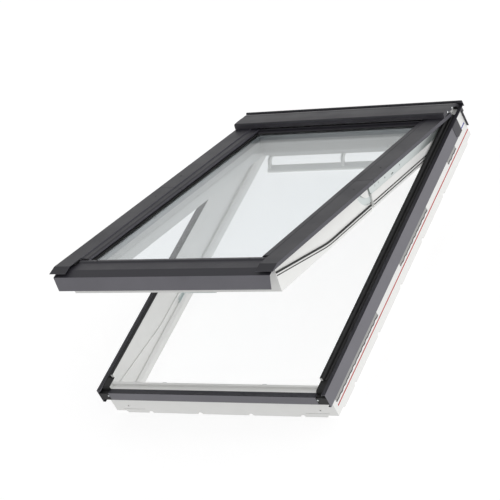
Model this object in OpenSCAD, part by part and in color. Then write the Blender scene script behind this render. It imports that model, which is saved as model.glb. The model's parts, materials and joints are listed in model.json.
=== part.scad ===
// Top-hung, centre-pivot roof window: frame, hinge arms, sash, vent flap and handle.
// X runs across the window, Y up the slope and Z out of the roof. The frame lies flat on z = 0.
// The sash is drawn swung open. "v" is a distance down the sash from the hinge axis, "w" is a
// distance from the hinge axis towards the weather, and "u" runs inward from a frame member's face.

/* [Frame] */
// Width of the frame over its side members
frame_w = 780; // [660:10:1140]
// Length of the frame up the slope
frame_l = 1178; // [978:10:1400]
// Height of the side members' inner upstand
frame_h = 127; // [123:1:127]
// Height of the side members' outer shoulder, which carries the cover and gasket
shoulder_h = 114; // [111:1:114]
// Thickness of a side member above its lip
jamb_t = 28; // [28:1:36]
// Width of the gutter on top of a side member
gutter_w = 20; // [18:1:22]
// Thickness of the bottom rail above its lip
rail_t = 22; // [20:1:26]
// Height of the bottom rail's upstand
rail_h = 113; // [108:1:114]
// Height of the bottom rail's outer shoulder
rail_shoulder_h = 105; // [98:1:105]
// Width of the gutter on top of the bottom rail
rail_gutter_w = 14; // [12:1:16]
// Thickness of the top rail above its lip
top_rail_t = 29; // [26:1:29]
// Height of the top rail
top_rail_h = 96; // [88:1:98]
// Width of the room-side lip of the side members and the bottom rail
lip_w = 12; // [10:1:12]
// Width of the top rail's room-side lip
top_lip_w = 8; // [5:1:8]
// Height of the room-side lip
lip_h = 30; // [24:1:30]
// How far the seal stop stands proud of the side member
stop_t = 3; // [2.5:0.1:3]
// Radius of the half-round scoops in the underside
scoop_r = 8; // [5:0.5:9]
// Depth of the scoops
scoop_d = 6; // [4:0.5:8]
// Distance between the scoops across the window
scoop_pitch_x = 178; // [150:1:200]
// Distance between the scoops up the slope
scoop_pitch_y = 195; // [150:1:200]
// Height of the notches under the frame's four corners
notch_h = 8; // [4:1:10]
// Length of the corner notches, with their slanted ends
notch_l = 40; // [35:1:60]
// Radius of the two fixing holes in the bottom rail's face
fixing_r = 3; // [2:0.25:4]
// Distance between the two fixing holes
fixing_pitch = 674; // [500:2:680]
// Height of the fixing holes above the underside
fixing_z = 29.5; // [20:0.5:60]
// Depth of the fixing holes
fixing_depth = 20; // [10:1:20]

/* [Frame covers] */
// Thickness of the frame's aluminium covers
cover_t = 1.2; // [0.8:0.1:1.5]
// How far the side covers stand out from the frame
cover_out = 9; // [6:1:14]
// How far the bottom and top covers stand out from the frame
cover_front = 20; // [19:1:20]
// Height of the side covers' outer face
side_cover_h = 48; // [36:1:56]
// Height of the bottom cover's front face
bottom_cover_h = 28; // [22:1:36]
// Centre height of the rolled rim on the top cover
rim_z = 130.5; // [129:0.5:136]
// Radius of the rolled rim's centre line
rim_r = 3.9; // [2.5:0.1:4]

/* [Hinges] */
// Angle of the sash from closed, as drawn
rest_open = 20.8; // [0:0.1:40]
// Distance of the top hinge axis from the frame's top edge
hinge_in = 31; // [31:1:34]
// Height of the top hinge axis above the underside
hinge_z = 102.5; // [102.5:0.5:106]
// Radius of the top hinge pins
hinge_pin_r = 4; // [3:0.5:5]
// Running clearance of a pin in its eye, on the radius
pin_gap = 0.05; // [0.02:0.01:0.1]
// Radius of the eye at the top of each hinge arm
eye_r = 12; // [9:0.5:12]
// Thickness of the steel hinge arms
arm_t = 4.5; // [3:0.25:4.5]
// Width of the steel hinge arms
arm_w = 28; // [22:1:30]
// How far the pivot axis lies above the sash's middle
pivot_up = 8; // [8:1:16]
// Inner radius of the curved pivot claw
claw_in_r = 54.5; // [50:0.5:58]
// Width of the curved pivot claw
claw_w = 21; // [14:1:22]
// Clearance round the claw in its pocket
claw_gap = 0.4; // [0.3:0.1:1]

/* [Sash] */
// Gap between the sash and the frame's side members and bottom rail
sash_gap = 5; // [5:0.5:7]
// Distance from the hinge axis to the sash's top end
sash_top = 8; // [8:1:12]
// Depth of the sash from the hinge axis to its room face
sash_depth = 70; // [56:1:70]
// Height of the sash's glazing rim above the hinge axis
rim_w = 14; // [13:0.5:14.5]
// Inward step of the sash beside the hinge arms
arm_pocket = 11; // [11:0.5:14]
// Half-width of glass that shows, less than half the frame by
glass_margin = 97; // [90:1:110]
// Distance from the hinge axis to the top of the glass that shows
glass_top = 84; // [80:1:100]
// Distance from the sash's bottom end to the bottom of the glass that shows
glass_bottom_margin = 42; // [38:1:60]
// Thickness of one glass pane
pane_t = 4; // [3:0.5:6]
// Width of the gas space between the panes
cavity_t = 16; // [12:1:16]
// How far the panes run on under the covers
pane_edge = 23; // [22:0.5:24]
// Width of the spacer between the panes
spacer_w = 11; // [8:0.5:12]
// Width of the spacer that shows beside the covers
spacer_show = 8; // [0:0.5:8]
// Width of the sash's bottom rail
bottom_rail_w = 75; // [60:1:110]

/* [Sash covers] */
// Thickness of the sash's aluminium covers
sash_cover_t = 1.6; // [1:0.1:2]
// Top of the side covers above the hinge axis
cover_top = 28.6; // [28.4:0.1:29.5]
// Overhang of the side covers beyond the sash
cover_over = 27; // [24:1:27]
// Width of the flat band of the side covers
band_w = 57; // [48:1:60]
// How far the side covers' skirt hangs down
skirt_h = 11.6; // [6:0.2:11.8]
// Distance from the sash's bottom end to the front of the apron
apron_out = 52; // [52:1:60]
// Height of the apron's front face
apron_h = 42.5; // [30:0.5:60]
// Distance from the hinge axis to the front of the top casing
casing_front = 72; // [60:1:90]
// Outer radius of the top casing round the hinge axis
casing_r = 48; // [47:0.5:48]

/* [Seals] */
// Height of the sealing strip round the sash's sides
seal_h = 5; // [3:0.5:6]
// How far the sealing strip stands out from the sash
seal_t = 3.6; // [3.2:0.1:4]
// Height of the sealing strip's straight run, measured from the hinge axis
seal_w = -50; // [-52:0.5:-50]
// Slope of the strip's lower run
seal_slope = 0.14; // [0.05:0.01:0.16]
// Distance from the pivot axis at which the strip starts to rise
seal_bend = 244; // [200:2:300]

/* [Room side] */
// Half-length of the ventilation control bar
bar_half = 285; // [200:5:290]
// Radius of the control bar's rounded edges
bar_r = 6.5; // [5:0.25:8]
// Distance of the control bar from the hinge axis, down the sash
bar_v = 88; // [80:1:110]
// Distance of the control bar from the hinge axis, towards the room
bar_w = 112; // [108:1:116]
// Length of the handle's lever
lever_l = 110; // [80:1:130]
// Radius of the handle's spindle
spindle_r = 5; // [4:0.25:5]
// Travel of the lock bar from open to locked
lock_travel = 16; // [14:0.5:18]
// Distance of each lock cam from the middle when locked
cam_x = 175; // [120:1:200]
// Radius of the lock cams
cam_r = 3; // [2:0.25:3]
// How far the lock cams stand out of the sash
cam_out = 2.6; // [2.2:0.1:2.8]
// How far the strikers' lips stand out of the bottom rail
striker_out = 3.2; // [2.8:0.1:3.2]
// Gap between a locked cam and its striker
cam_gap = 0.8; // [0.4:0.1:1.2]

/* [Hidden] */
$fn = 64;

powder = "#46454b";
powder_light = "#77767b";
lacquer = "#eeeeec";
rubber = "#1c1c1c";
steel = "#c9cfce";
plastic = "#2a2a2c";

// Frame, measured from the bottom outer edge
hinge_y = frame_l - hinge_in;
jamb_in = frame_w / 2 - jamb_t;
rail_in = rail_t + lip_w;
top_in = frame_l - top_rail_t;
side_cover_top = shoulder_h + 3;
gutter_x = frame_w / 2 - gutter_w;
gasket_out = frame_w / 2 - 4;
upstand_start = rail_in + 2;
seat_gap = 0.1;
slot_z = 56;
slot_h = 6;
slot_d = 3;
// Where the side slots start and end, as shares of the frame's length
side_slots = [[0.017, 0.304], [0.475, 0.677], [0.849, 0.908]];
end_groove_l = 108;
notch_slope = 6;
back_low = 60;
cap_l = 40;
face_end = frame_l - 50;
block_top = shoulder_h + 2.4;
guide_y = 430;
guide_l = 67;
bush_y = 93;
bush_z = 19;

// Sash, measured down the sash from the hinge axis
sash_bottom = hinge_y - rail_t - sash_gap;
low_hw = jamb_in - sash_gap;
top_hw = low_hw - arm_pocket;
arm_in = top_hw + 2;
arm_out = low_hw + 0.5;
pivot_v = (sash_top + sash_bottom) / 2 - pivot_up;
pivot_w = cover_top + 1.4;
seam = 1;
glass_hw = frame_w / 2 - glass_margin;
glass_bottom = sash_bottom - glass_bottom_margin;
pane_top_w = rim_w - 2;
pane_low_w = pane_top_w - 2 * pane_t - cavity_t;
pane_hw = glass_hw + pane_edge;
pane_v0 = glass_top - pane_edge + 1;
pane_v1 = glass_bottom + pane_edge;
rebate_gap = 2;
rebate_hw = pane_hw + rebate_gap;
stile_in = glass_hw + 7;
top_rail_v = glass_top - 9;
cover_mid = cover_top - sash_cover_t / 2;
cover_under = cover_top - sash_cover_t;
cover_hw = low_hw + cover_over;
band_in = cover_hw - band_w;
knee_v = sash_bottom + 20;
tip_v = sash_bottom + apron_out - 2;
apron_v = sash_bottom + apron_out - sash_cover_t / 2;
casing_hw = cover_hw + 0.2;
batten_start = 60;
arm_top_w = 6;
arm_low_w = arm_top_w - arm_w;
vent_axis_v = 18;
vent_axis_w = -(sash_depth + 3.8);
vent_plate_v = 76;
vent_plate_w = -(sash_depth + 3.6);
handle_v = sash_bottom - 58;
handle_w = -(sash_depth + 4);
lock_w = 0;
lock_groove = 5;
// The sash's bottom end keeps inside this radius, so that it swings past the strikers
end_r = sash_bottom + sash_gap - striker_out - 0.3 - pivot_v;
taper_w = pivot_w - sqrt(end_r * end_r - (sash_bottom - pivot_v) * (sash_bottom - pivot_v));
taper_v = pivot_v + sqrt(end_r * end_r - (pivot_w + sash_depth) * (pivot_w + sash_depth));

// ---- helpers ----

function unit(a) = a / norm(a);
function left_of(a) = [-a[1], a[0]];
function mitre(p, i, s) =
    let (last = len(p) - 1,
         a = left_of(unit(i > 0 ? p[i] - p[i - 1] : p[1] - p[0])),
         b = left_of(unit(i < last ? p[i + 1] - p[i] : p[last] - p[last - 1])))
    p[i] + 2 * s * (a + b) / ((a + b) * (a + b));
// Outline of a folded sheet of thickness t that follows the line p
function folded(p, t) = concat([for (i = [0 : len(p) - 1]) mitre(p, i, t / 2)],
                               [for (i = [len(p) - 1 : -1 : 0]) mitre(p, i, -t / 2)]);
function ring_points(c, r, a0, a1, n) =
    [for (i = [0 : n]) c + r * [cos(a0 + (a1 - a0) * i / n), sin(a0 + (a1 - a0) * i / n)]];
// Height of the sealing strip's middle at a distance v down the sash
function seal_rise(s) = s < 0 ? 0 : s < 60 ? s * s / 120 : s - 30;
function seal_mid(v) = seal_w + seal_slope * seal_rise(v - pivot_v - seal_bend);

module on_side(s) { if (s < 0) mirror([1, 0, 0]) children(); else children(); }
module both() { children(); mirror([1, 0, 0]) children(); }
// Moves the origin to the bottom outer edge of the frame
module from_bottom() { translate([0, -frame_l / 2, 0]) children(); }
// Moves the origin to the hinge axis and swings the sash open
module opened() {
    translate([0, hinge_y - frame_l / 2, hinge_z]) rotate([-rest_open, 0, 0]) children();
}
// Extrudes a (y, z) outline across the window
module across(x0, x1) { translate([x0, 0, 0]) rotate([90, 0, 90]) linear_extrude(x1 - x0) children(); }
// Extrudes an (x, z) outline up the slope
module along(y0, y1) { translate([0, y1, 0]) rotate([90, 0, 0]) linear_extrude(y1 - y0) children(); }
// Extrudes a (v, w) outline across the sash
module sash_across(x0, x1) {
    translate([x1, 0, 0]) rotate([90, 0, -90]) linear_extrude(x1 - x0) children();
}
// Extrudes an (x, w) outline down the sash
module sash_along(v0, v1) { translate([0, -v0, 0]) rotate([90, 0, 0]) linear_extrude(v1 - v0) children(); }
module sash_box(x0, x1, v0, v1, w0, w1) { translate([x0, -v1, w0]) cube([x1 - x0, v1 - v0, w1 - w0]); }
// Cylinder across the sash, on the axis at (v, w)
module sash_rod(x0, x1, v, w, r) { translate([x0, -v, w]) rotate([0, 90, 0]) cylinder(r = r, h = x1 - x0); }
// Cylinder square to the sash, at (x, v)
module sash_stud(x, v, w0, w1, r) { translate([x, -v, w0]) cylinder(r = r, h = w1 - w0); }
// Lower length of sash section from v0 to the tapered bottom end
module sash_end(x0, x1, v0) {
    sash_across(x0, x1) polygon([[v0, -sash_depth], [v0, rim_w], [sash_bottom, rim_w],
                                 [sash_bottom, taper_w], [taper_v, -sash_depth]]);
}
// Part of a ring round the pivot axis. Angles run from down the sash towards the room.
module pivot_sector(x0, x1, r0, r1, a0, a1) {
    far = 2 * r1;
    sash_across(x0, x1) translate([pivot_v, pivot_w]) intersection() {
        difference() {
            circle(r = r1);
            circle(r = r0);
        }
        polygon([[0, 0], far * [cos(a0), -sin(a0)], far * [cos((a0 + a1) / 2), -sin((a0 + a1) / 2)],
                 far * [cos(a1), -sin(a1)]]);
    }
}

// ---- frame ----

// Outline of a corner notch, from the frame's end inwards
module end_notch() {
    polygon([[-1, -1], [-1, notch_h], [notch_l - notch_slope, notch_h], [notch_l, 0], [notch_l, -1]]);
}
// Cuts the part of the corner notches that lies in the bottom or top rail
module rail_notches(y0, y1) {
    both() translate([frame_w / 2, 0, 0]) mirror([1, 0, 0]) along(y0, y1) end_notch();
}

module jamb(s) {
    lip_y0 = rail_in;
    lip_y1 = top_in - top_lip_w;
    v_list = [for (i = [0 : 28]) sash_bottom + sash_gap
              - i * (sash_bottom + sash_gap - pivot_v - seal_t - 8) / 28];
    color(lacquer) on_side(s) from_bottom() difference() {
        union() {
            along(0, frame_l) polygon([
                [frame_w / 2, 0], [frame_w / 2, shoulder_h], [gutter_x, shoulder_h],
                [gutter_x, frame_h - 1], [gutter_x - 1, frame_h], [jamb_in + 1, frame_h],
                [jamb_in, frame_h - 1], [jamb_in, 0]]);
            along(lip_y0, lip_y1) polygon([
                [jamb_in, 0], [jamb_in - lip_w, 0], [jamb_in - lip_w, lip_h - 12],
                [jamb_in - lip_w + 4, lip_h - 1], [jamb_in - lip_w + 5, lip_h], [jamb_in, lip_h]]);
            across(jamb_in - stop_t, jamb_in) polygon(concat(
                [for (v = v_list) [hinge_y - v, hinge_z + seal_mid(v) - seal_h / 2 - 0.5]],
                [[hinge_y - v_list[28], lip_h], [hinge_y - v_list[0], lip_h]]));
        }
        translate([jamb_in - 1, -1, shoulder_h]) cube([gutter_w, upstand_start + 1, frame_h]);
        for (r = side_slots)
            translate([frame_w / 2 - slot_d, r[0] * frame_l, slot_z])
                cube([slot_d + 1, (r[1] - r[0]) * frame_l, slot_h]);
        across(jamb_in - 1, frame_w / 2 + 1) end_notch();
        translate([0, frame_l, 0]) mirror([0, 1, 0]) across(jamb_in - 1, frame_w / 2 + 1) end_notch();
        for (y = [for (i = [0 : floor((frame_l - 260) / scoop_pitch_y)]) 130 + i * scoop_pitch_y])
            translate([frame_w / 2 - scoop_d, y, 0]) rotate([0, 90, 0]) cylinder(r = scoop_r, h = scoop_d + 1);
    }
}
module frame_left_jamb() { jamb(-1); }
module frame_right_jamb() { jamb(1); }

module frame_bottom_rail() {
    scoops = floor((frame_w / 2 - 60) / scoop_pitch_x + 0.5);
    color(lacquer) from_bottom() difference() {
        across(-jamb_in, jamb_in) polygon([
            [0, 0], [0, rail_shoulder_h], [rail_gutter_w, rail_shoulder_h], [rail_gutter_w, rail_h],
            [rail_t - 1, rail_h], [rail_t, rail_h - 1], [rail_t, lip_h], [rail_in - 1, lip_h],
            [rail_in, lip_h - 1], [rail_in, 0]]);
        for (i = [0 : 2 * scoops - 1])
            translate([(i - scoops + 0.5) * scoop_pitch_x, -1, 0]) rotate([-90, 0, 0])
                cylinder(r = scoop_r, h = scoop_d + 1);
        both() translate([jamb_in - end_groove_l + jamb_t, -1, 15]) cube([end_groove_l, 3, 2]);
        rail_notches(-1, rail_in + 1);
        both() translate([fixing_pitch / 2, -1, fixing_z]) rotate([-90, 0, 0])
            cylinder(r = fixing_r, h = fixing_depth + 1);
    }
}

module frame_top_rail() {
    color(lacquer) from_bottom() difference() {
        across(-jamb_in, jamb_in) polygon([
            [top_in, 0], [top_in - top_lip_w, 0], [top_in - top_lip_w, lip_h - 1],
            [top_in - top_lip_w + 1, lip_h], [top_in, lip_h], [top_in, top_rail_h],
            [frame_l, top_rail_h], [frame_l, 0]]);
        rail_notches(top_in - top_lip_w - 1, frame_l + 1);
        both() translate([top_hw, hinge_y, hinge_z]) rotate([0, 90, 0])
            cylinder(r = eye_r + 2, h = jamb_in - top_hw + 1);
    }
}

// Side cover, whose outer face stops short of the frame's top end
module side_cover(s) {
    edge = frame_w / 2 + cover_out - cover_t / 2;
    start = [[gasket_out + 1.2, shoulder_h], [gasket_out + 1.2, side_cover_top]];
    color(powder_light) on_side(s) from_bottom() union() {
        along(-cover_front, face_end) polygon(folded(concat(start, [[edge, side_cover_top],
            [edge, side_cover_top - side_cover_h], [frame_w / 2, side_cover_top - side_cover_h]]), cover_t));
        along(face_end - 1, frame_l + cover_front - cover_t) polygon(folded(concat(start, [[edge + cover_t / 2, side_cover_top]]),
                                                    cover_t));
    }
}
module left_side_cover() { side_cover(-1); }
module right_side_cover() { side_cover(1); }

module frame_bottom_cover() {
    top = rail_shoulder_h + 1.4;
    color(powder_light) from_bottom() across(-jamb_in, jamb_in) polygon(folded([
        [-seat_gap, top - 2], [-cover_front + cover_t / 2, top],
        [-cover_front + cover_t / 2, top - bottom_cover_h], [-seat_gap, top - bottom_cover_h]], cover_t));
}

// Top cover: a sheet behind the casing, a rolled rim, and end plates with a flange on the frame
module frame_top_cover() {
    back = frame_l + cover_front - cover_t / 2;
    rim = ring_points([back - rim_r, rim_z], rim_r, 0, 200, 16);
    sheet_hw = casing_hw - 10;
    end_x = gasket_out + 2.2;
    strip_under = side_cover_top - cover_t / 2;
    color(powder) from_bottom() union() {
        across(-sheet_hw, sheet_hw) polygon(folded(concat([[frame_l, back_low], [back, back_low]], rim), cover_t));
        both() across(sheet_hw - 1, frame_w / 2 + cover_out)
            polygon(folded(concat([[back, strip_under - 6]], rim), cover_t));
        both() translate([end_x, frame_l, strip_under - 26]) cube([cover_t, cover_front - cover_t / 2, 26]);
        both() translate([end_x, frame_l, strip_under - 71]) cube([cover_out, cover_t, 60]);
    }
}

// Cap on the end of a side cover's outer face
module corner_plate(s) {
    out = frame_w / 2 + cover_out;
    low = side_cover_top - side_cover_h - cover_t / 2;
    color(powder) on_side(s) from_bottom() union() {
        across(out, out + cover_t) polygon([
            [face_end - cap_l, low + 8], [face_end - cap_l, side_cover_top], [face_end + cover_t, side_cover_top],
            [face_end + cover_t, low], [face_end - cap_l + 14, low]]);
        translate([frame_w / 2, face_end, low])
            cube([cover_out + cover_t, cover_t, side_cover_top - cover_t / 2 - low]);
    }
}
module left_corner_plate() { corner_plate(-1); }
module right_corner_plate() { corner_plate(1); }

// Moulded rubber piece that closes the corner between the side and bottom covers
module corner_block(s) {
    front = -cover_front + 1;
    out = frame_w / 2 + cover_out - cover_t;
    color(rubber) on_side(s) from_bottom() union() {
        translate([jamb_in, front, side_cover_top - side_cover_h + 8])
            cube([out - jamb_in, -front, rail_shoulder_h - side_cover_top + side_cover_h - 9]);
        translate([jamb_in, 0, shoulder_h])
            cube([gasket_out - jamb_in, upstand_start, block_top - shoulder_h]);
        across(jamb_in, gasket_out) polygon([
            [0, rail_shoulder_h - 2], [0, block_top], [-5, block_top - 3], [-5, rail_shoulder_h - 2]]);
    }
}
module left_corner_block() { corner_block(-1); }
module right_corner_block() { corner_block(1); }

module frame_gasket(s) {
    color(rubber) on_side(s) from_bottom() along(upstand_start, top_in) polygon([
        [gutter_x, shoulder_h], [gasket_out, shoulder_h], [gasket_out, shoulder_h + 3.2],
        [gasket_out - 4.5, shoulder_h + 3.2], [gasket_out - 6, shoulder_h + 6],
        [gasket_out - 8.5, shoulder_h + 6], [gasket_out - 10, shoulder_h + 3],
        [gutter_x + 4, shoulder_h + 3], [gutter_x + 3.4, frame_h - 4], [gutter_x + 1.2, frame_h + 1],
        [jamb_in + 1, frame_h + 1], [jamb_in + 1, frame_h], [gutter_x - 1, frame_h],
        [gutter_x, frame_h - 1]]);
}
module left_frame_gasket() { frame_gasket(-1); }
module right_frame_gasket() { frame_gasket(1); }

module top_weather_seal() {
    color(rubber) from_bottom() across(-jamb_in, jamb_in) polygon([
        [top_in + 14, top_rail_h], [top_in + 14, top_rail_h + 3], [top_in + 20, top_rail_h + 4],
        [top_in + 22, top_rail_h + 26], [top_in + 24.5, top_rail_h + 26],
        [top_in + 25, top_rail_h + 4], [top_in + 28, top_rail_h + 3], [top_in + 28, top_rail_h]]);
}

module hinge_bracket(s) {
    plate_t = 2.5;
    color(steel) on_side(s) from_bottom() difference() {
        union() {
            translate([jamb_in - plate_t, hinge_y, hinge_z]) rotate([0, 90, 0])
                cylinder(r = eye_r, h = plate_t);
            translate([jamb_in - plate_t, hinge_y - 60, hinge_z - 12]) cube([plate_t, 60, 24]);
            translate([arm_in + 2, hinge_y, hinge_z]) rotate([0, 90, 0])
                cylinder(r = hinge_pin_r, h = jamb_in - arm_in - 3);
            translate([arm_in + 1, hinge_y, hinge_z]) rotate([0, 90, 0])
                cylinder(r = hinge_pin_r + 3, h = arm_out - arm_t - arm_in - 1.6);
        }
        for (d = [30, 48]) translate([jamb_in - plate_t - 1, hinge_y - d, hinge_z])
            rotate([0, 90, 0]) cylinder(r = 2.5, h = plate_t + 2);
    }
}
module left_hinge_bracket() { hinge_bracket(-1); }
module right_hinge_bracket() { hinge_bracket(1); }

// Plates on the bottom rail, each with a lip that holds down a locked cam
module lock_strikers() {
    lip_z = hinge_z + lock_w + cam_r + cam_gap;
    color(steel) from_bottom() for (x = [-cam_x, cam_x]) translate([x, rail_t, 0]) {
        translate([-22, 0, lip_z - 46]) cube([36, 1.2, 50]);
        translate([-7, 0, lip_z]) cube([14, striker_out, 4]);
    }
}

// Guide on the room-side lip: a plate with round ends and an upright flange on the side member
module jamb_guide(s) {
    plate_t = 1.8;
    wide = 7;
    x = jamb_in - stop_t - wide / 2;
    color(steel) on_side(s) from_bottom() difference() {
        union() {
            translate([x - wide / 2, guide_y, lip_h]) cube([wide, guide_l - wide, plate_t]);
            for (y = [0, guide_l - wide]) translate([x, guide_y + y, lip_h]) cylinder(r = wide / 2, h = plate_t);
            translate([x + wide / 2 - 1.2, guide_y + 6, lip_h]) cube([1.2, guide_l - wide - 12, 10]);
        }
        for (y = [0, guide_l - wide]) translate([x, guide_y + y, lip_h - 1]) cylinder(r = 1.6, h = 4);
    }
}
module left_jamb_guide() { jamb_guide(-1); }
module right_jamb_guide() { jamb_guide(1); }

// Bush on the side member's lip that takes the cleaning bolt
module bottom_bush() {
    color(plastic) from_bottom() translate([lip_w - jamb_in, bush_y, bush_z]) rotate([0, 90, 0])
        difference() {
            cylinder(r = 7, h = 2);
            translate([0, 0, -1]) cylinder(r = 3.5, h = 4);
        }
}

module corner_screws() {
    color(steel) from_bottom() both() translate([jamb_in + 4, -cover_front + 1, rail_shoulder_h - 10])
        rotate([90, 0, 0]) cylinder(r = 2.6, h = 1);
}

// ---- hinge arms ----

module hinge_arm(s) {
    end_v = pivot_v - 8;
    color(steel) on_side(s) opened() difference() {
        union() {
            sash_rod(arm_out - arm_t, arm_out, 0, 0, eye_r);
            sash_box(arm_out - arm_t, arm_out, 0, end_v - 6, arm_low_w, arm_top_w);
            sash_box(arm_out - arm_t, arm_out, end_v - 6.5, end_v, arm_low_w + 5, arm_top_w);
        }
        sash_rod(arm_out - arm_t - 1, arm_out + 1, 0, 0, hinge_pin_r + pin_gap);
        for (v = [pivot_v - 208, pivot_v - 109])
            sash_rod(arm_out - arm_t - 1, arm_out + 1, v, -9, 2.6);
        sash_box(arm_out - arm_t - 1, arm_out + 1, pivot_v - 163, pivot_v - 147, -17, -13);
    }
}
module left_hinge_arm() { hinge_arm(-1); }
module right_hinge_arm() { hinge_arm(1); }

// Curved claw that slides round the virtual pivot axis in the sash's pocket
module pivot_claw(s) {
    x1 = arm_out - arm_t;
    tail = pivot_v - 86;
    r1 = claw_in_r + claw_w;
    color(steel) on_side(s) opened() union() {
        pivot_sector(arm_in, x1, claw_in_r, r1, 32, 108);
        sash_across(arm_in, x1) polygon([
            [tail, arm_low_w], [tail, arm_top_w], [pivot_v - 26, arm_top_w],
            [pivot_v + (claw_in_r + 3) * cos(100), pivot_w - (claw_in_r + 3) * sin(100)],
            [pivot_v + (r1 - 3) * cos(100), pivot_w - (r1 - 3) * sin(100)],
            [pivot_v - 34, arm_low_w - 16]]);
    }
}
module left_pivot_claw() { pivot_claw(-1); }
module right_pivot_claw() { pivot_claw(1); }

// White side piece under and behind the steel arm, which also carries the upper cover
module arm_batten(s) {
    gap = 0.4;
    low = arm_low_w - 23;
    color(lacquer) on_side(s) opened() union() {
        sash_box(arm_in, arm_out - arm_t, batten_start, pivot_v - 91, low, cover_under);
        sash_box(arm_out - arm_t, arm_out, batten_start, pivot_v - 13, low, arm_low_w - gap);
    }
}
module left_arm_batten() { arm_batten(-1); }
module right_arm_batten() { arm_batten(1); }

// Section of a side cover: rounded inner ridge, flat band and outer skirt
ridge_line = [[glass_hw + 8.5, rim_w + 1.6], [glass_hw + 6.5, rim_w + 5], [glass_hw + 8, rim_w + 9],
              [glass_hw + 13, rim_w + 11], [band_in - 7, rim_w + 11.6], [band_in - 1.5, rim_w + 9.5],
              [band_in, cover_mid]];
band_line = [[band_in, cover_mid], [cover_hw - sash_cover_t / 2, cover_mid],
             [cover_hw - sash_cover_t / 2, cover_top - skirt_h]];
cover_line = concat(ridge_line, [band_line[1], band_line[2]]);

module upper_cover(s) {
    color(powder) on_side(s) opened() sash_along(20, pivot_v - seam)
        polygon(folded(cover_line, sash_cover_t));
}
module left_upper_cover() { upper_cover(-1); }
module right_upper_cover() { upper_cover(1); }

module top_casing() {
    r = casing_r - 0.75;
    color(powder) opened() sash_across(-casing_hw, casing_hw) polygon(folded(concat(
        [[casing_front - 0.75, cover_top + 0.4], [casing_front - 0.75, r - 3.7],
         [casing_front - 4.5, r - 0.9], [38, r - 0.2]],
        [for (i = [0 : 14]) let (a = -8 + i * 83 / 14) [-r * sin(a), r * cos(a)]]), 1.5));
}

// End plate of the top casing, which follows its outline
module casing_end(s) {
    r0 = casing_r - 10;
    color(powder) on_side(s) opened() sash_across(casing_hw, casing_hw + 1.8) polygon(concat(
        [[casing_front - 12, cover_top + 3], [casing_front, cover_top + 0.4],
         [casing_front, casing_r - 4.5], [casing_front - 4, casing_r - 1], [38, casing_r]],
        [for (i = [0 : 14]) let (a = -8 + i * 83 / 14) [-casing_r * sin(a), casing_r * cos(a)]],
        [for (i = [14 : -1 : 2]) let (a = -8 + i * 83 / 14) [-r0 * sin(a), r0 * cos(a)]]));
}
module left_casing_end() { casing_end(-1); }
module right_casing_end() { casing_end(1); }

module casing_clips() {
    color(plastic) opened() both()
        sash_box(arm_in - 6, cover_hw - 8, 26, 62, cover_top, casing_r - 2.5);
}

module upper_cover_screws() {
    color(plastic) opened() both() sash_stud(low_hw + 2, pivot_v - 96, cover_top, cover_top + 0.8, 3);
}

module claw_rivets() {
    color(steel) opened() both() for (v = [16, 40])
        sash_rod(arm_out, arm_out + 0.9, pivot_v - 86 + v, -8, 3.4);
}

// ---- sash ----

module stile(s) {
    color(lacquer) on_side(s) opened() difference() {
        union() {
            sash_end(stile_in, top_hw, sash_top);
            sash_end(top_hw - 1, low_hw, pivot_v + seam);
        }
        sash_box(stile_in - 1, rebate_hw, sash_top - 1, sash_bottom + 1, pane_low_w, rim_w + 1);
        pivot_sector(top_hw, low_hw + 1, claw_in_r - claw_gap, claw_in_r + claw_w + claw_gap, 27, 100);
    }
}
module sash_left_stile() { stile(-1); }
module sash_right_stile() { stile(1); }

// Top rail with its two ventilation slots
module sash_top_rail() {
    color(lacquer) opened() difference() {
        union() {
            sash_box(-stile_in, stile_in, sash_top, top_rail_v, -sash_depth, pane_low_w);
            sash_box(-rebate_hw, rebate_hw, sash_top, pane_v0 - rebate_gap, pane_low_w, rim_w);
        }
        both() sash_box(15, stile_in - 30, 28, 42, -sash_depth - 1, rim_w + 1);
    }
}

// Bottom rail with the lock bar's groove and the bore for the handle's spindle
module sash_bottom_rail() {
    color(lacquer) opened() difference() {
        union() {
            difference() {
                sash_end(-stile_in, stile_in, sash_bottom - bottom_rail_w);
                sash_box(-stile_in - 1, stile_in + 1, sash_bottom - bottom_rail_w - 1, sash_bottom + 1,
                         pane_low_w, rim_w + 1);
            }
            sash_box(-rebate_hw, rebate_hw, pane_v1 + rebate_gap, sash_bottom, pane_low_w, rim_w);
        }
        sash_box(-cam_x - 60, cam_x + 60, sash_bottom - lock_groove, sash_bottom + 1,
                 lock_w - 6, lock_w + 6);
        sash_stud(0, handle_v, -sash_depth - 1, -sash_depth + 8, spindle_r + 1);
    }
}

module pane(w) { sash_box(-pane_hw, pane_hw, pane_v0, pane_v1, w, w + pane_t); }
module outer_pane() { color("lightcyan", 0.3) opened() pane(pane_top_w - pane_t); }
module inner_pane() { color("lightcyan", 0.3) opened() pane(pane_low_w); }

module pane_spacer() {
    edge = pane_edge + spacer_show - spacer_w;
    color(steel) opened() difference() {
        sash_box(-pane_hw + edge, pane_hw - edge, pane_v0 + edge, pane_v1 - edge,
                 pane_low_w + pane_t, pane_top_w - pane_t);
        sash_box(-glass_hw + spacer_show, glass_hw - spacer_show, pane_v0 + edge + spacer_w,
                 pane_v1 - edge - spacer_w, pane_low_w, pane_top_w);
    }
}

module glazing_gasket() {
    edge = 19;
    color(rubber) opened() difference() {
        sash_box(-glass_hw - edge, glass_hw + edge, glass_top - edge, glass_bottom + edge - 4,
                 pane_top_w, rim_w);
        sash_box(-glass_hw, glass_hw, glass_top, glass_bottom, pane_top_w - 1, rim_w + 1);
    }
}

module top_glazing_profile() {
    v = glass_top - 28;
    color(powder) opened() sash_across(-glass_hw - 4, glass_hw + 4) polygon([
        [v, rim_w], [v, rim_w + 7], [v + 8, rim_w + 8], [v + 9, rim_w + 5], [v + 15, rim_w + 6],
        [v + 24, rim_w + 3], [v + 27, rim_w]]);
}

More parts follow.
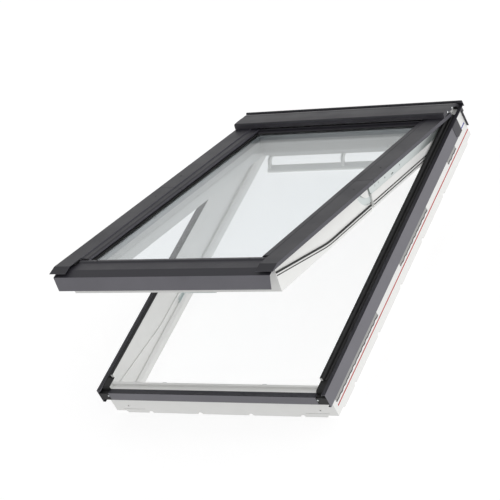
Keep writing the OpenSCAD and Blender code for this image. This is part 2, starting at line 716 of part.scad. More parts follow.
module lower_cover(s) {
    ridge_end = glass_bottom + 2;
    slope = (cover_mid - cover_top + skirt_h - 1) / (tip_v - knee_v);
    color(powder) on_side(s) opened() union() {
        sash_along(pivot_v + seam, ridge_end) polygon(folded(cover_line, sash_cover_t));
        sash_along(ridge_end, knee_v) polygon(folded(band_line, sash_cover_t));
        sash_across(band_in, cover_hw) polygon(folded([
            [knee_v - 0.5, cover_mid], [knee_v, cover_mid],
            [tip_v, cover_mid - slope * (tip_v - knee_v)]], sash_cover_t));
        sash_across(cover_hw - sash_cover_t, cover_hw) polygon([
            [knee_v - 0.5, cover_top - skirt_h], [knee_v - 0.5, cover_mid], [knee_v, cover_mid],
            [tip_v, cover_mid - slope * (tip_v - knee_v)], [tip_v, cover_top - skirt_h]]);
    }
}
module left_lower_cover() { lower_cover(-1); }
module right_lower_cover() { lower_cover(1); }

// Bottom cover: glazing step, flat top, slope and front face
module apron() {
    top_v = glass_bottom + 4;
    wide_v = sash_bottom - 6;
    end = low_hw + 15;
    line = [[top_v, rim_w + 1.6], [top_v + 2, rim_w + 7.5], [top_v + 13, rim_w + 8.5],
            [top_v + 19, rim_w + 4.6], [wide_v, rim_w + 4.2], [knee_v + 3, rim_w + 3],
            [apron_v, rim_w - 7.5], [apron_v, rim_w - 7.5 - apron_h]];
    color(powder_light) opened() difference() {
        sash_across(-end, end) polygon(folded(line, sash_cover_t));
        both() sash_box(band_in - 2, end + 1, top_v - 3, wide_v, rim_w, cover_top);
        both() translate([end, -apron_v + 3, rim_w - 7.5]) rotate([0, 9, 0])
            translate([0, -6, -apron_h - 4]) cube([20, 6, apron_h + 4]);
    }
}

module cover_clips() {
    span = knee_v - 40 - pivot_v - 70;
    color(plastic) opened() both() for (i = [0 : 2]) let (v = pivot_v + 70 + i * span / 2)
        sash_box(rebate_hw + 12, top_hw + 4, v - 14, v + 14, rim_w, cover_under);
}

module apron_clips() {
    color(plastic) opened() for (x = [-0.8, 0, 0.8] * glass_hw)
        sash_box(x - 20, x + 20, sash_bottom - 14, sash_bottom - 4, rim_w, rim_w + 3.3);
}

// Sealing strips: straight beside the pivot, then rising towards the bottom corner
module seal_strip(x0, x1, offset_w, h, v0, v1) {
    n = 28;
    list = [for (i = [0 : n]) v0 + i * (v1 - v0) / n];
    sash_across(x0, x1) polygon(concat(
        [for (v = list) [v, seal_mid(v) + offset_w + h / 2]],
        [for (i = [n : -1 : 0]) [list[i], seal_mid(list[i]) + offset_w - h / 2]]));
}
module sash_seals() {
    color(rubber) opened() both() {
        seal_strip(low_hw, low_hw + seal_t, 0, seal_h, pivot_v + seam + 2, sash_bottom - 1);
        seal_strip(low_hw, low_hw + 1.2, -10, 2.4, pivot_v + seam + 2, sash_bottom - 3);
        sash_box(top_hw, top_hw + 1.3, sash_top + 2, pivot_v - 3, seal_w - 2.5, seal_w + 2.5);
    }
}

module lower_cover_screws() {
    color(plastic) opened() both() {
        sash_stud(low_hw - 4, pivot_v + 66, cover_top, cover_top + 0.8, 3);
        sash_stud(glass_hw - 30, glass_bottom + 12, rim_w + 9.2, rim_w + 10.4, 2.4);
    }
}

module handle_base() {
    color(lacquer) opened() difference() {
        sash_box(-15, 15, handle_v - 15, handle_v + 15, handle_w, -sash_depth);
        sash_stud(0, handle_v, handle_w - 1, -sash_depth + 1, spindle_r + pin_gap);
    }
}

// Hangers at both ends of the vent flap, with the pins it turns on
module vent_hangers() {
    end = bar_half - 4;
    color(plastic) opened() both() {
        sash_box(end, end + 5, vent_axis_v - 6, vent_axis_v + 6, vent_axis_w - 4, -sash_depth);
        sash_rod(end - 12, end + 1, vent_axis_v, vent_axis_w, 1.6);
    }
}

// ---- parts that move on the sash ----

module vent_flap() {
    end = bar_half - 4.6;
    color(lacquer) opened() difference() {
        union() {
            sash_rod(-end, end, vent_axis_v, vent_axis_w, 3.2);
            sash_box(-end, end, vent_axis_v, vent_plate_v, vent_plate_w, vent_plate_w + 3);
        }
        both() sash_rod(end - 12.4, end + 1, vent_axis_v, vent_axis_w, 1.6 + pin_gap);
    }
}

module bar_section() {
    rotate([0, 0, -48]) {
        translate([0, 0]) square([13, 2 * bar_r], center = true);
        for (d = [-6.5, 6.5]) translate([d, 0]) circle(r = bar_r);
    }
}
module control_bar() {
    color(lacquer) opened() sash_across(-bar_half, bar_half) translate([bar_v, -bar_w]) bar_section();
}

module bar_brackets() {
    a = [vent_plate_v - 11, vent_plate_w + 2];
    b = [bar_v + 8, vent_plate_w - 6];
    c = [bar_v, -bar_w];
    curve = [for (i = [0 : 12]) let (t = i / 12)
             (1 - t) * (1 - t) * a + 2 * t * (1 - t) * b + t * t * c];
    color(lacquer) opened() for (x = [-bar_half + 6, -4, bar_half - 14]) difference() {
        sash_across(x, x + 8) polygon(folded(curve, 12));
        sash_box(x - 1, x + 9, 0, vent_plate_v + 60, vent_plate_w, vent_plate_w + 20);
        sash_across(x - 1, x + 9) translate([bar_v, -bar_w]) bar_section();
    }
}

module handle_lever() {
    top = handle_w - 18;
    color(steel) opened() union() {
        sash_stud(0, handle_v, top + 4, -sash_depth + 4, spindle_r);
        sash_stud(0, handle_v, top + 4, handle_w - 0.4, 9);
        sash_stud(0, handle_v, top, top + 8, 10);
        sash_box(0, lever_l - 10, handle_v - 10, handle_v + 10, top, top + 8);
        sash_stud(lever_l - 10, handle_v, top, top + 8, 10);
    }
}

module lock_bar() {
    color(steel) opened() union() {
        sash_box(-cam_x - 40, cam_x + 40 - lock_travel, sash_bottom - 4.6, sash_bottom - 0.6,
                 lock_w - 5, lock_w + 5);
        for (x = [-cam_x, cam_x]) translate([x - lock_travel, -sash_bottom + 1, lock_w])
            rotate([90, 0, 0]) cylinder(r = cam_r, h = cam_out + 1);
    }
}

frame_left_jamb();
frame_right_jamb();
frame_bottom_rail();
frame_top_rail();
left_side_cover();
right_side_cover();
frame_bottom_cover();
frame_top_cover();
left_corner_plate();
right_corner_plate();
left_corner_block();
right_corner_block();
left_frame_gasket();
right_frame_gasket();
top_weather_seal();
left_hinge_bracket();
right_hinge_bracket();
lock_strikers();
left_jamb_guide();
right_jamb_guide();
bottom_bush();
corner_screws();
left_hinge_arm();
right_hinge_arm();
left_pivot_claw();
right_pivot_claw();
left_arm_batten();
right_arm_batten();
left_upper_cover();
right_upper_cover();
top_casing();
left_casing_end();
right_casing_end();
casing_clips();
upper_cover_screws();
claw_rivets();
sash_left_stile();
sash_right_stile();
sash_top_rail();
sash_bottom_rail();
outer_pane();
inner_pane();
pane_spacer();
glazing_gasket();
top_glazing_profile();
left_lower_cover();
right_lower_cover();
apron();
cover_clips();
apron_clips();
sash_seals();
lower_cover_screws();
handle_base();
vent_hangers();
vent_flap();
control_bar();
bar_brackets();
handle_lever();
lock_bar();
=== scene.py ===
# %% [markdown]
# # A top-hung roof window, dressed for a studio picture
#
# The window's frames, covers, hinges and glass come ready-made as a fixed frame of parts. Every
# part sits at the origin with its place in its mesh, so a finish can read Object coordinates in
# metres. The window lies flat on the floor with its sash swung open, as in a maker's catalogue.

# %% Load the frame
import json
import math

import bmesh
import bpy
from mathutils import Matrix, Vector


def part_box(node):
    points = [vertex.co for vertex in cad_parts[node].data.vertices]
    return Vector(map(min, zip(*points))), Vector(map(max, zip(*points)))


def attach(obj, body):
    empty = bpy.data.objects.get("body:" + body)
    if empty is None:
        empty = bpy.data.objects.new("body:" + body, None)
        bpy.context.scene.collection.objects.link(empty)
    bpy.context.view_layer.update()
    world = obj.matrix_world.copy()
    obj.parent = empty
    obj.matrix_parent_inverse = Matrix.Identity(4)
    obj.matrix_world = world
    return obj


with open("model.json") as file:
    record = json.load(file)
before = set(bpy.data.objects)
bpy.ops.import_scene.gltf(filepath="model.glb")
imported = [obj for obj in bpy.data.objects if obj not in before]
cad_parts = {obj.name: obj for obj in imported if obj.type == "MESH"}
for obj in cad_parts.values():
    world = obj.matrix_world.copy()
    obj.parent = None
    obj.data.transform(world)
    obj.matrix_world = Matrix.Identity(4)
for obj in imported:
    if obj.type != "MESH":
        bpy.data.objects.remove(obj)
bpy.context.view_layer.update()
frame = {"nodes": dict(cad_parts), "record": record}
nodes = frame["nodes"]

# %% [markdown]
# ## Units and colours
#
# Blender works in metres and in linear light. Sizes below are written in millimetres and colours
# as the hex values of a paint card, so two small functions turn them into Blender's own units.

# %% Units and colours
MM = 0.001


def linear(hex_colour):
    """An sRGB hex value as the linear colour that shader sockets take."""
    parts = [int(hex_colour[i:i + 2], 16) / 255 for i in (1, 3, 5)]
    return [c / 12.92 if c <= 0.04045 else ((c + 0.055) / 1.055) ** 2.4 for c in parts] + [1.0]


def per_mm(size):
    """A texture scale that gives a feature of about this many millimetres."""
    return 1 / (size * MM)


print("mid grey as linear light", [round(c, 3) for c in linear("#808080")])

# %% [markdown]
# ## Two helpers for shader nodes
#
# A finish is a small graph. The first helper adds one node, sets its settings and its sockets, and
# links any socket whose value is an output of another node. The second starts a material with the
# nodes that every finish here has.

# %% Shader node helper
def add(tree, kind, settings=None, **sockets):
    """Adds a node. settings are its attributes. A socket is named by its words joined with _,
    or by its number, as in0 or in6, where a node has several of one name."""
    made = tree.nodes.new(kind)
    for key, value in (settings or {}).items():
        setattr(made, key, value)
    for key, value in sockets.items():
        numbered = key.startswith("in") and key[2:].isdigit()
        socket = made.inputs[int(key[2:]) if numbered else key.replace("_", " ")]
        if isinstance(value, bpy.types.NodeSocket):
            tree.links.new(value, socket)
        else:
            socket.default_value = value
    return made


# %% A new finish
def new_finish(name):
    """An empty material with its output, its shader and its Object coordinates."""
    material = bpy.data.materials.new(name)
    material.use_nodes = True
    tree = material.node_tree
    tree.nodes.clear()
    shader = add(tree, "ShaderNodeBsdfPrincipled")
    add(tree, "ShaderNodeOutputMaterial", Surface=shader.outputs["BSDF"])
    place = add(tree, "ShaderNodeTexCoord").outputs["Object"]
    print("finish", name)
    return material, tree, shader, place


# %% [markdown]
# ## Baked paint on aluminium sheet
#
# The weather side is folded aluminium with a baked polyester paint. Such paint has a faint
# orange peel of about 1.5 mm and a semi-matt gloss, and its tone clouds a little over a hand's
# width. Noise textures at those sizes give all three.
#
# The paint has one colour, but its tops carry painted shade: they are darker than the upright
# faces, and more so than the light alone makes them. That is a cheat: the normal in the part's own
# coordinates, which turns with the part, mixes a shaded card for the tops and a lit card for the
# upright faces. More lights would change the rest of the picture too.

# %% Baked paint
PAINT_IOR = 1.5
SHEEN = 0.3  # under the usual 0.5, because the paint mirrors the bright room only weakly
# Painted shade: the tops' darker card fades in between these two heights of the normal.
PAINTED_SHADE_STARTS, PAINTED_SHADE_FULL = 0.45, 0.85  # how far up a face looks where the top's card begins and rules


def baked_paint(name, shaded_top_card, lit_side_card, roughness=0.42, cloud=0.08):
    material, tree, shader, place = new_finish(name)
    # Painted shade: faces that look up take the shaded card, and upright faces take the lit one.
    facing = add(tree, "ShaderNodeSeparateXYZ",
                 Vector=add(tree, "ShaderNodeTexCoord").outputs["Normal"]).outputs["Z"]
    painted_shade_mask = add(tree, "ShaderNodeMapRange", Value=facing, From_Min=PAINTED_SHADE_STARTS, From_Max=PAINTED_SHADE_FULL)
    # In a colour mix, socket 0 is the factor, 6 and 7 are the two colours, and output 2 the result.
    card = add(tree, "ShaderNodeMix", {"data_type": "RGBA"}, in0=painted_shade_mask.outputs["Result"],
               in6=linear(lit_side_card), in7=linear(shaded_top_card))
    clouds = add(tree, "ShaderNodeTexNoise", Vector=place, Scale=per_mm(140), Detail=4.0,
                 Roughness=0.6)
    shade = add(tree, "ShaderNodeMapRange", Value=clouds.outputs["Fac"], From_Min=0.3,
                From_Max=0.7, To_Min=1 - cloud, To_Max=1 + cloud)
    colour = add(tree, "ShaderNodeVectorMath", {"operation": "SCALE"}, in0=card.outputs[2],
                 Scale=shade.outputs["Result"])
    peel = add(tree, "ShaderNodeTexNoise", Vector=place, Scale=per_mm(1.5), Detail=2.0)
    relief = add(tree, "ShaderNodeBump", Height=peel.outputs["Fac"], Strength=0.12,
                 Distance=0.08 * MM)
    rough = add(tree, "ShaderNodeMapRange", Value=clouds.outputs["Fac"], From_Min=0.3,
                From_Max=0.7, To_Min=roughness - 0.05, To_Max=roughness + 0.07)
    tree.links.new(colour.outputs["Vector"], shader.inputs["Base Color"])
    tree.links.new(rough.outputs["Result"], shader.inputs["Roughness"])
    tree.links.new(relief.outputs["Normal"], shader.inputs["Normal"])
    shader.inputs["IOR"].default_value = PAINT_IOR
    shader.inputs["Specular IOR Level"].default_value = SHEEN
    return material


# %% The three paints
# In each paint, the first card is the painted shade of its tops and the second is its lit upright
# faces.
paint_dark = baked_paint("polyester_paint_dark_grey", "#28272d", "#4c4b52")
paint_casing = baked_paint("polyester_paint_casing_grey", "#2c2b30", "#403f44")
paint_grey = baked_paint("polyester_paint_mid_grey", "#333238", "#6d6c72", roughness=0.46)

# %% [markdown]
# ## A matt or glossy skin of one colour
#
# White lacquer, rubber, plastics and ink have the same build: one card whose tone varies by a few
# percent, a fine relief, and an even gloss. They differ in the size of the grain, so there is one
# function for the moulded and extruded materials, whose grain makes both the tone and the relief,
# and one for lacquer, which is wavy at about 30 mm and has a finer skin of about 2 mm over that.

# %% White lacquer
PLASTIC_IOR = 1.5  # usual for lacquer, rubber and most plastics


def white_lacquer(name, card, roughness=0.36):
    material, tree, shader, place = new_finish(name)
    waves = add(tree, "ShaderNodeTexNoise", Vector=place, Scale=per_mm(30), Detail=3.0)
    shade = add(tree, "ShaderNodeMapRange", Value=waves.outputs["Fac"], To_Min=0.97, To_Max=1.02)
    colour = add(tree, "ShaderNodeVectorMath", {"operation": "SCALE"}, in0=linear(card)[:3],
                 Scale=shade.outputs["Result"])
    skin = add(tree, "ShaderNodeTexNoise", Vector=place, Scale=per_mm(2.2), Detail=3.0)
    relief = add(tree, "ShaderNodeBump", Height=skin.outputs["Fac"], Strength=0.10,
                 Distance=0.06 * MM)
    tree.links.new(colour.outputs["Vector"], shader.inputs["Base Color"])
    tree.links.new(relief.outputs["Normal"], shader.inputs["Normal"])
    shader.inputs["Roughness"].default_value = roughness
    shader.inputs["IOR"].default_value = PLASTIC_IOR
    return material


lacquer_frame = white_lacquer("polyurethane_lacquer_white_frame", "#e8e8e6")
lacquer_sash = white_lacquer("polyurethane_lacquer_white_sash", "#e8e8e6", roughness=0.30)


# %% Rubber and plastics
def moulded(name, card, roughness, grain, depth, tint=0.06):
    material, tree, shader, place = new_finish(name)
    grit = add(tree, "ShaderNodeTexNoise", Vector=place, Scale=per_mm(grain), Detail=3.0)
    shade = add(tree, "ShaderNodeMapRange", Value=grit.outputs["Fac"], To_Min=1 - tint,
                To_Max=1 + tint)
    colour = add(tree, "ShaderNodeVectorMath", {"operation": "SCALE"}, in0=linear(card)[:3],
                 Scale=shade.outputs["Result"])
    relief = add(tree, "ShaderNodeBump", Height=grit.outputs["Fac"], Strength=0.25,
                 Distance=depth * MM)
    tree.links.new(colour.outputs["Vector"], shader.inputs["Base Color"])
    tree.links.new(relief.outputs["Normal"], shader.inputs["Normal"])
    shader.inputs["Roughness"].default_value = roughness
    shader.inputs["IOR"].default_value = PLASTIC_IOR
    return material


# The seals are extruded EPDM rubber, nearly black and matt. Small clips are black polyamide, and
# the handle's base and the ventilation parts are white ABS with a smooth skin.
rubber = moulded("epdm_rubber_black", "#131314", 0.62, grain=0.8, depth=0.10)
polyamide = moulded("polyamide_black", "#222224", 0.48, grain=1.1, depth=0.05)
abs_white = moulded("abs_white", "#e9e9e6", 0.34, grain=3.0, depth=0.04, tint=0.015)

# %% [markdown]
# ## Zinc-plated steel and aluminium
#
# The hinge parts are zinc-plated steel with rolling lines along the window's length, and the bar
# between the panes is aluminium. A noise that is stretched along Y gives the lines: squeezing the
# coordinates there makes each grain many times longer than it is wide. It is drawn at 0.9 mm,
# coarser than real rolling lines, because finer ones wouldn't show.

# %% Plated steel and aluminium
LINE_W, LINE_SQUEEZE = 0.9, 0.06


def plated_steel(name, card, roughness):
    material, tree, shader, place = new_finish(name)
    stretch = add(tree, "ShaderNodeMapping", Vector=place, Scale=(1.0, LINE_SQUEEZE, 1.0))
    lines = add(tree, "ShaderNodeTexNoise", Vector=stretch.outputs["Vector"],
                Scale=per_mm(LINE_W), Detail=3.0)
    shade = add(tree, "ShaderNodeMapRange", Value=lines.outputs["Fac"], To_Min=0.88, To_Max=1.06)
    colour = add(tree, "ShaderNodeVectorMath", {"operation": "SCALE"}, in0=linear(card)[:3],
                 Scale=shade.outputs["Result"])
    rough = add(tree, "ShaderNodeMapRange", Value=lines.outputs["Fac"],
                To_Min=roughness - 0.06, To_Max=roughness + 0.10)
    relief = add(tree, "ShaderNodeBump", Height=lines.outputs["Fac"], Strength=0.15,
                 Distance=0.03 * MM)
    tree.links.new(colour.outputs["Vector"], shader.inputs["Base Color"])
    tree.links.new(rough.outputs["Result"], shader.inputs["Roughness"])
    tree.links.new(relief.outputs["Normal"], shader.inputs["Normal"])
    shader.inputs["Metallic"].default_value = 1.0
    return material


zinc = plated_steel("zinc_plated_steel", "#d5dbda", 0.36)
spacer_metal = plated_steel("aluminium_spacer_bar", "#b9bcbe", 0.42)

# %% [markdown]
# ## Float glass
#
# The panes are clear float glass with a trace of blue. A pane is two smooth faces that both bend
# and mirror light, so it is a solid with full transmission, and not a see-through sheet. Real
# float glass has an IOR of 1.52. Two panes have four faces, and at 1.52 they mirror too much of
# the bright room, so a lower value stands for glass with an anti-reflection coat.

# %% Float glass
COATED_GLASS_IOR = 1.18


def float_glass(name, tint, roughness):
    material, tree, shader, place = new_finish(name)
    flow = add(tree, "ShaderNodeTexNoise", Vector=place, Scale=per_mm(420), Detail=1.0)
    shade = add(tree, "ShaderNodeMapRange", Value=flow.outputs["Fac"], To_Min=0.99, To_Max=1.0)
    colour = add(tree, "ShaderNodeVectorMath", {"operation": "SCALE"}, in0=linear(tint)[:3],
                 Scale=shade.outputs["Result"])
    tree.links.new(colour.outputs["Vector"], shader.inputs["Base Color"])
    shader.inputs["Transmission Weight"].default_value = 1.0
    shader.inputs["Roughness"].default_value = roughness
    shader.inputs["IOR"].default_value = COATED_GLASS_IOR
    return material


glass = float_glass("float_glass_clear", "#fbfdfe", 0.0)

# %% [markdown]
# ## Dressing the ready-made parts
#
# Each part takes the finish it has on the real window. A CAD part's shape is never touched here:
# only the material in its slot changes.

# %% Finishes by part
finish_of = {
    lacquer_frame: ["frame_left_jamb", "frame_right_jamb", "frame_bottom_rail", "frame_top_rail"],
    lacquer_sash: ["sash_left_stile", "sash_right_stile", "sash_top_rail", "sash_bottom_rail",
                   "left_arm_batten", "right_arm_batten"],
    paint_grey: ["left_side_cover", "right_side_cover", "frame_bottom_cover", "apron"],
    paint_dark: ["left_upper_cover", "right_upper_cover", "left_lower_cover", "right_lower_cover",
                 "top_glazing_profile"],
    paint_casing: ["top_casing", "left_casing_end", "right_casing_end", "frame_top_cover",
                   "left_corner_plate", "right_corner_plate"],
    rubber: ["left_corner_block", "right_corner_block", "left_frame_gasket", "right_frame_gasket",
             "top_weather_seal", "glazing_gasket", "sash_seals"],
    polyamide: ["bottom_bush", "casing_clips", "upper_cover_screws", "cover_clips", "apron_clips",
                "lower_cover_screws", "vent_hangers"],
    abs_white: ["handle_base", "vent_flap", "bar_brackets", "control_bar"],
    zinc: ["left_hinge_bracket", "right_hinge_bracket", "lock_strikers", "left_jamb_guide",
           "right_jamb_guide", "corner_screws", "left_hinge_arm", "right_hinge_arm",
           "left_pivot_claw", "right_pivot_claw", "claw_rivets", "handle_lever", "lock_bar"],
    spacer_metal: ["pane_spacer"],
    glass: ["outer_pane", "inner_pane"],
}
for material, names in finish_of.items():
    for name in names:
        nodes[name].data.materials.clear()
        nodes[name].data.materials.append(material)
dressed = {name for names in finish_of.values() for name in names}
print("parts without a finish:", sorted(set(nodes) - dressed))

# %% [markdown]
# ## One helper for new pieces
#
# A small piece that has no part of its own starts as an empty bmesh. A function shapes it with
# operators, and this helper turns its faces outwards, makes it an object at the origin, gives it a
# finish and ties it to the body that it moves with.

# %% New piece helper
def new_piece(name, mesh_maker, finish, body):
    shape = bmesh.new()
    mesh_maker(shape)
    bmesh.ops.recalc_face_normals(shape, faces=shape.faces)
    mesh = bpy.data.meshes.new(name)
    shape.to_mesh(mesh)
    shape.free()
    mesh.materials.append(finish)
    piece = bpy.data.objects.new(name, mesh)
    bpy.context.collection.objects.link(piece)
    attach(piece, body)
    print(name, len(mesh.polygons), "faces")
    return piece


frame_low, frame_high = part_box("frame_right_jamb")
print("right side member", [round(v, 4) for v in (*frame_low, *frame_high)])

# %% [markdown]
# ## A strip on the frame's side
#
# Marking lines and foam both lie flat on the frame's side. A flat grid is turned upright, scaled to
# its size and moved to the side member's outer face, and an extrusion gives it its thickness. A
# texture could carry the lines too, but a real strip is easier to place exactly. All is made on
# the right, and a negative scale mirrors it to the left.

# %% Flat strips
SIDES = ((1, "right"), (-1, "left"))


def upright_grid(shape, y0, y1, z0, z1, steps=1):
    """A flat grid on the right side member's outer face, in metres."""
    bmesh.ops.create_grid(shape, x_segments=1, y_segments=steps, size=0.5)
    bmesh.ops.rotate(shape, verts=shape.verts, matrix=Matrix.Rotation(math.radians(90), 3, "Y"))
    bmesh.ops.scale(shape, verts=shape.verts, vec=(1, y1 - y0, z1 - z0))
    bmesh.ops.translate(shape, verts=shape.verts,
                        vec=(frame_high[0], (y0 + y1) / 2, (z0 + z1) / 2))


def thicken(shape, faces, vec):
    """Extrudes faces and moves the new ones by vec."""
    grown = bmesh.ops.extrude_face_region(shape, geom=faces)["geom"]
    bmesh.ops.translate(shape, vec=vec,
                        verts=[v for v in grown if isinstance(v, bmesh.types.BMVert)])


# %% [markdown]
# ## Marking lines on the frame's side
#
# A printed line runs along the frame's white side, and most likely shows the fitter how deep the
# frame sits in the roof. A short one near the top end probably marks the insulation collar. Each
# is made as a foil 0.3 mm thick with a soft edge from a bevel.

# %% Marking lines
FOIL_T, FOIL_EDGE = 0.3 * MM, 0.1 * MM
DEPTH_LINE_Z = (30.5 * MM, 35 * MM)  # lower and upper edge above the frame's underside
COLLAR_LINE_Z = (61.5 * MM, 66 * MM)


def foil(side, y0, y1, z0, z1):
    """A thin strip on a side member's outer face; side is 1 for right and -1 for left."""
    def shape_it(shape):
        upright_grid(shape, y0, y1, z0, z1)
        thicken(shape, shape.faces[:], (FOIL_T, 0, 0))
        bmesh.ops.bevel(shape, geom=shape.edges[:], offset=FOIL_EDGE, affect="EDGES", segments=1,
                        profile=0.5, material=-1)
        bmesh.ops.scale(shape, verts=shape.verts, vec=(side, 1, 1))
    return shape_it


ink_red = moulded("printing_ink_red", "#b83a3a", 0.5, grain=1.5, depth=0.02)
ink_blue = moulded("printing_ink_blue", "#2a2a94", 0.5, grain=1.5, depth=0.02)
for side, word in SIDES:
    new_piece(f"{word}_depth_line",
              foil(side, frame_low[1] + 18 * MM, frame_high[1] - 4 * MM, *DEPTH_LINE_Z),
              ink_red, "frame")
    new_piece(f"{word}_collar_line",
              foil(side, frame_high[1] - 38 * MM, frame_high[1] - 8 * MM, *COLLAR_LINE_Z),
              ink_blue, "frame")

# %% [markdown]
# ## Places on the open sash
#
# The sash is drawn open, so a place on it is easiest to give along the sash itself: across, down
# from the hinge axis, and out from its face. The joint's own limit tells how far it is open.

# %% Places on the sash
hinge = next(j for j in frame["record"]["behaviour"]["joints"] if j["name"] == "top_hinge")
opening = math.radians(-hinge["range_deg"][0])
print("sash drawn open by", round(math.degrees(opening), 1), "degrees")


def on_sash(x, v, w):
    """A place given across, down and out from the hinge axis, in millimetres, as it is drawn."""
    sin, cos = math.sin(opening), math.cos(opening)
    return Vector(hinge["pos_m"]) + MM * Vector((x, -v * cos + w * sin, v * sin + w * cos))


# %% [markdown]
# ## Rivets in the casing's ends
#
# Two bright rivets hold each end plate of the top casing. A head is a shallow dome with a recess.
# Half its section is one outline, which is spun round the head's axis. The open underside is
# filled, and the head is turned to face outwards and moved to its seat.

# %% Rivet heads
RIVET_R, RIVET_RISE, RECESS = 3.2 * MM, 1.6 * MM, 0.35  # the recess is a share of the rise
# Down and out from the hinge axis.
RIVET_PLACES = ((44, 39), (12, 41))


def heads(name, places, aim, radius, rise, finish, body):
    """Domed heads at places, pointing along aim, as one piece."""
    turn = Vector(aim).to_track_quat("Z", "Y").to_matrix()
    floor_of_recess = rise * (1 - RECESS)
    outline = [(radius, 0.0), (radius, rise * 0.35), (radius * 0.82, rise * 0.8),
               (radius * 0.5, rise), (radius * 0.45, floor_of_recess), (0.0, floor_of_recess)]

    def shape_it(shape):
        for place in places:
            verts = [shape.verts.new((x, 0, z)) for x, z in outline]
            edges = [shape.edges.new(pair) for pair in zip(verts, verts[1:])]
            bmesh.ops.spin(shape, geom=verts + edges, cent=(0, 0, 0), axis=(0, 0, 1),
                           dvec=(0, 0, 0), angle=2 * math.pi, steps=20, use_merge=True,
                           use_normal_flip=False, use_duplicate=False)
            # A tag marks the heads that are already in place.
            fresh = [v for v in shape.verts if not v.tag]
            bmesh.ops.remove_doubles(shape, verts=fresh, dist=1e-6)
            fresh = [v for v in shape.verts if not v.tag]
            bmesh.ops.rotate(shape, verts=fresh, cent=(0, 0, 0), matrix=turn)
            bmesh.ops.translate(shape, verts=fresh, vec=place)
            for v in fresh:
                v.tag = True
        bmesh.ops.holes_fill(shape, edges=[e for e in shape.edges if e.is_boundary])
    return new_piece(name, shape_it, finish, body)


bright_zinc = plated_steel("zinc_plated_screw_steel", "#f2f4f4", 0.25)
for side, word in SIDES:
    face_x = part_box(f"{word}_casing_end")[1 if side > 0 else 0][0] / MM
    heads(f"{word}_casing_rivets", [on_sash(face_x, v, w) for v, w in RIVET_PLACES],
          (side, 0, 0), RIVET_R, RIVET_RISE, bright_zinc, "lift_arms")

# %% [markdown]
# ## Foam collar under the side covers
#
# What shows along the cover's lower edge looks like a strip of foam that is pressed against the
# frame's side and waves where it is squeezed. Its grey face is one piece, and a dark strip below
# it, a painted shadow of the gap under the cover, is the other.
# A long grid gets a sine in its edges before it is thickened. Modelling the wave, and not painting
# it, gives it a true shadow.

# %% Foam collar
foam = moulded("polyethylene_foam_grey", "#a4a4a2", 0.85, grain=1.6, depth=0.25)
# A dark strip of painted shadow, where the gap under the side cover is in shade.
foam_shadow_strip = moulded("polyethylene_foam_cut_edge", "#3a3a3b", 0.9, grain=1.6, depth=0.25)
FOAM_TOP, FOAM_LOW, EDGE_LOW = 60 * MM, 49 * MM, 45.5 * MM
FACE_T, EDGE_T, FOAM_STEP = 1.6 * MM, 2.0 * MM, 4 * MM
WAVE, WAVE_LENGTH = 1.1 * MM, 26 * MM
RIPPLE, RIPPLE_RATE = 0.6, 4.4  # a second, lower wave, so that the edge doesn't repeat evenly
# The stretches that show through the side cover's slots, as shares of the frame's length.
FOAM_STRETCHES = ((0.017, 0.304), (0.475, 0.677), (0.849, 0.908))


def foam_strip(side, y0, y1, z0, z1, thick):
    """A waving strip. The face waves at its lower edge only, and the strip of painted shadow below
    it waves at both edges.
    """
    def shape_it(shape):
        upright_grid(shape, y0, y1, z0, z1, steps=int((y1 - y0) / FOAM_STEP))
        for v in shape.verts:
            if v.co.z < (z0 + z1) / 2 or z1 < FOAM_TOP:
                v.co.z += WAVE * (math.sin(v.co.y / WAVE_LENGTH * 2 * math.pi)
                                  + RIPPLE * math.sin(v.co.y / WAVE_LENGTH * RIPPLE_RATE))
        thicken(shape, shape.faces[:], (thick, 0, 0))
        bmesh.ops.scale(shape, verts=shape.verts, vec=(side, 1, 1))
    return shape_it


span = frame_high[1] - frame_low[1]
for side, word in SIDES:
    for number, (start, stop) in enumerate(FOAM_STRETCHES, 1):
        y0, y1 = frame_low[1] + start * span, frame_low[1] + stop * span
        new_piece(f"{word}_foam_collar_{number}",
                  foam_strip(side, y0, y1, FOAM_LOW, FOAM_TOP, FACE_T), foam, "frame")
        new_piece(f"{word}_foam_shadow_strip_{number}",
                  foam_strip(side, y0, y1, EDGE_LOW, FOAM_LOW, EDGE_T), foam_shadow_strip, "frame")

# %% [markdown]
# ## Profile and seals below the lift arms
#
# Below each steel arm a white profile with two rubber lips closes the gap to the frame. On the
# real window the lips are most likely pressed into grooves. A closed outline, extruded down the
# slope, is the plainest way to get such a section.

# %% Sections along the sash
PROFILE_V, SEAL_V = (60, 541), (62, 540)  # start and end down the sash, in millimetres
PROFILE_TOP, PROFILE_LOW, PROFILE_W, PROFILE_CUT = -45.4, -66, 8, (2, -62)
SEAL_TOPS = (-46.2, -54.6)
SEAL_REACH = 2.4


def section(outline, v0, v1):
    """Extrudes an outline of (x, w) points down the sash from v0 to v1, all in millimetres."""
    def shape_it(shape):
        start = [shape.verts.new(on_sash(x, v0, w)) for x, w in outline]
        thicken(shape, [shape.faces.new(start)], on_sash(0, v1, 0) - on_sash(0, v0, 0))
    return shape_it


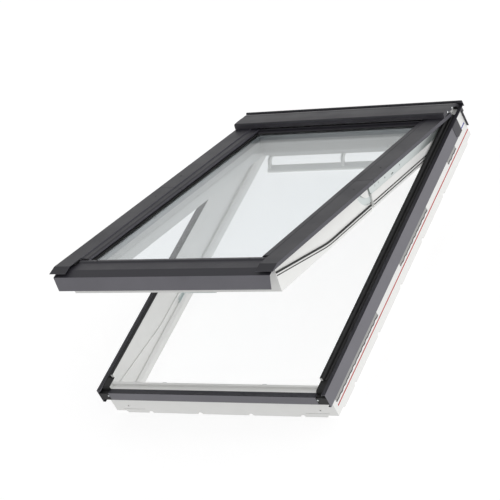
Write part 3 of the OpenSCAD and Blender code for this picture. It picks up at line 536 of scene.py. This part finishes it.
# %% Arm profiles and seals
arm_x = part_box("right_hinge_arm")[1][0] / MM
print("arm's outer face at", round(arm_x, 1), "mm")
for side, word in SIDES:
    x0, x1, lip = side * (arm_x - PROFILE_W), side * (arm_x - 0.3), side * (arm_x + SEAL_REACH)
    cut, cut_w = PROFILE_CUT
    new_piece(f"{word}_arm_profile",
              section([(x0, PROFILE_TOP), (x1, PROFILE_TOP), (x1, cut_w),
                       (x1 - side * cut, PROFILE_LOW), (x0, PROFILE_LOW)], *PROFILE_V),
              lacquer_sash, "lift_arms")
    for number, w in enumerate(SEAL_TOPS, 1):
        new_piece(f"{word}_arm_seal_{number}",
                  section([(x1, w), (lip - side * 0.6, w - 0.3), (lip, w - 1.2),
                           (lip - side * 0.5, w - 2.2), (x1, w - 2.6)], *SEAL_V),
                  rubber, "lift_arms")

# %% [markdown]
# ## Floor
#
# The window lies on a pale floor that fades into a white background. A lit card alone comes out
# grey, so this one glows by itself too, enough to read as white and still take a soft shadow.

# %% Floor
FLOOR_HALF = 12  # metres from the middle to the edge
GLOW = 0.76
sheet = bmesh.new()
bmesh.ops.create_grid(sheet, x_segments=1, y_segments=1, size=FLOOR_HALF)
floor_mesh = bpy.data.meshes.new("studio_floor")
sheet.to_mesh(floor_mesh)
sheet.free()
floor = bpy.data.objects.new("studio_floor", floor_mesh)
bpy.context.collection.objects.link(floor)
card, card_tree, card_shader, card_place = new_finish("matt_white_card")
fibre = add(card_tree, "ShaderNodeTexNoise", Vector=card_place, Scale=per_mm(60), Detail=2.0)
pale = add(card_tree, "ShaderNodeMapRange", Value=fibre.outputs["Fac"], To_Min=0.34, To_Max=0.36)
card_tree.links.new(pale.outputs["Result"], card_shader.inputs["Base Color"])
card_shader.inputs["Emission Color"].default_value = linear("#ffffff")
card_shader.inputs["Emission Strength"].default_value = GLOW
card_shader.inputs["Roughness"].default_value = 0.9
card_shader.inputs["Specular IOR Level"].default_value = 0.1
floor_mesh.materials.append(card)
print("floor", 2 * FLOOR_HALF, "m wide")

# %% [markdown]
# ## Light
#
# The room is a tent of white cloth that is brightest on the right, at the back and above, and falls
# to a third on the far side. That gradient gives each face of the window its own grey. One square
# softbox on the right lifts the side faces a little more.

# %% Light
DIM, BRIGHT = 0.32, 0.94
world = bpy.data.worlds.new("light_tent")
bpy.context.scene.world = world
world.use_nodes = True
tent = world.node_tree.nodes["Background"]
sky = add(world.node_tree, "ShaderNodeTexCoord")
bright_side = Vector((0.45, 0.55, 0.5)).normalized()
towards = add(world.node_tree, "ShaderNodeVectorMath", {"operation": "DOT_PRODUCT"},
              in0=sky.outputs["Generated"], in1=bright_side)
level = add(world.node_tree, "ShaderNodeMapRange", Value=towards.outputs["Value"],
            From_Min=-1.0, To_Min=DIM, To_Max=BRIGHT)
tent.inputs["Color"].default_value = linear("#ffffff")
world.node_tree.links.new(level.outputs["Result"], tent.inputs["Strength"])


# %% Softbox
def softbox(name, place, aim, size, watts):
    lamp = bpy.data.lights.new(name, "AREA")
    lamp.shape, lamp.size, lamp.energy = "SQUARE", size, watts
    holder = bpy.data.objects.new(name, lamp)
    bpy.context.collection.objects.link(holder)
    holder.location = place
    holder.rotation_euler = (Vector(aim) - Vector(place)).to_track_quat("-Z", "Y").to_euler()
    print(name, watts, "W,", size, "m wide")


softbox("softbox_right", place=(4.5, -0.2, 1.0), aim=(0, -0.1, 0.1), size=2.0, watts=24)

# %% [markdown]
# ## Camera
#
# The camera stands about 7 m away in front, high on the right, with a long lens. It is rolled, so
# that the flat window looks as steep as the roof it will sit in. Two directions, the picture's
# right and up, say how it is turned better than three angles would.

# %% Camera
CAMERA_PLACE = (3.7766, -4.2899, 4.3233)
PICTURE_RIGHT, PICTURE_UP = (0.838605, 0.374078, -0.395988), (0.016348, 0.709321, 0.704696)
SENSOR, LENS = 36, 167.25

camera = bpy.data.objects.new("camera", bpy.data.cameras.new("camera"))
bpy.context.collection.objects.link(camera)
camera.data.sensor_width, camera.data.lens = SENSOR, LENS
right = Vector(PICTURE_RIGHT).normalized()
up = Vector(PICTURE_UP).normalized()
back = right.cross(up).normalized()
turn = Matrix((right, back.cross(right), back)).transposed().to_4x4()
camera.matrix_world = Matrix.Translation(CAMERA_PLACE) @ turn
bpy.context.scene.camera = camera
bpy.context.scene.view_settings.view_transform = "Standard"
print("camera", round(Vector(CAMERA_PLACE).length, 2), "m from the window's middle")
